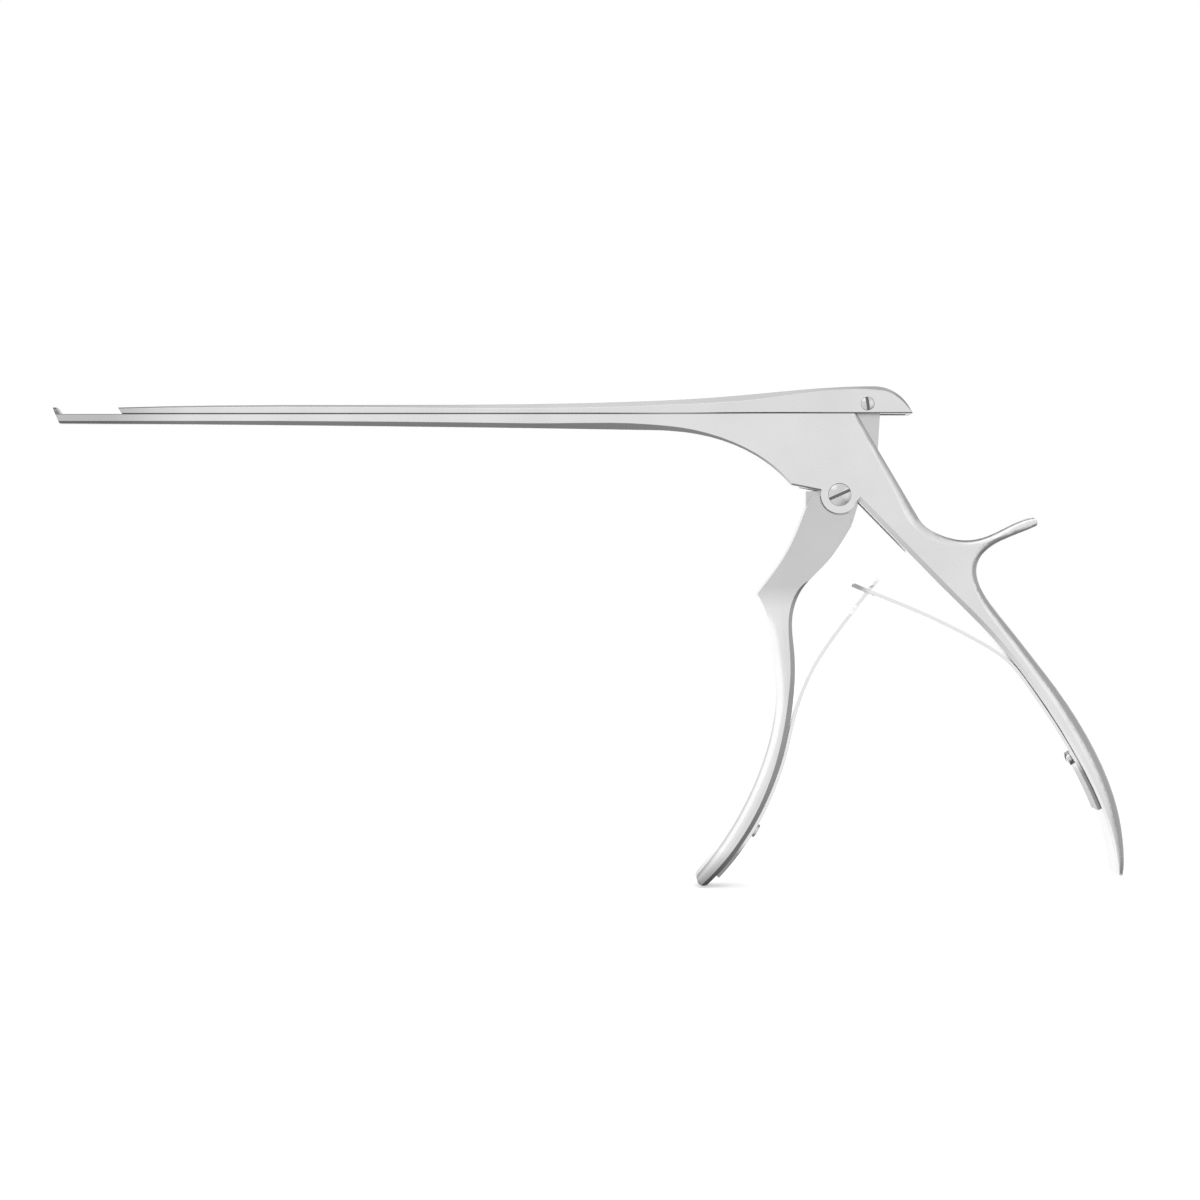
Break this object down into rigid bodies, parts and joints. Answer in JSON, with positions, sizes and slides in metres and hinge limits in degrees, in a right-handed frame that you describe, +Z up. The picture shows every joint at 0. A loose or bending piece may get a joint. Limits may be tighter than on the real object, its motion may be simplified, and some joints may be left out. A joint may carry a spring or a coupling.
{
  "type": "bone rongeur",
  "caption": "Sliding shaft bone rongeur with an upturned footplate, a trigger lever, a rear handle with a palm horn and interlocked leaf springs.",
  "frame": {"origin": "deepest point of the palm saddle under the horn, on the plane of symmetry", "axes": "+X along the shaft, away from the footplate; +Z up, square to the sliding face; the handles swing in the XZ plane"},
  "size_m": [0.2622, 0.0106, 0.1219],
  "materials": {
    "satin_steel": "satin stainless steel",
    "screw_steel": "polished stainless steel",
    "spring_steel": "smooth spring steel"
  },
  "bodies": {
    "frame": {"frame": "satin_steel", "pivot_screw": "screw_steel", "rear_leaf_spring": "spring_steel", "rear_spring_screw": "screw_steel"},
    "front_handle": {"front_handle": "satin_steel", "front_leaf_spring": "spring_steel", "front_spring_screw": "screw_steel"},
    "slider": {"slider": "satin_steel", "slider_screw": "screw_steel"}
  },
  "joints": [
    {"name": "handle_pivot", "type": "hinge", "parent": "frame", "child": "front_handle", "pos_m": [-0.0336, 0, 0.0188], "axis": [0, -1, 0], "range_deg": [0, 37.5], "stiffness_Nm_per_rad": 1.5, "springref_deg": -17.19, "deforming": ["front_leaf_spring", "rear_leaf_spring"]},
    {"name": "slider_slide", "type": "slide", "parent": "frame", "child": "slider", "axis": [-1, 0, 0], "range_m": [0, 0.0151]}
  ],
  "couplings": [
    {"joint": "slider_slide", "follows": "handle_pivot", "m_per_rad": 0.02305}
  ]
}
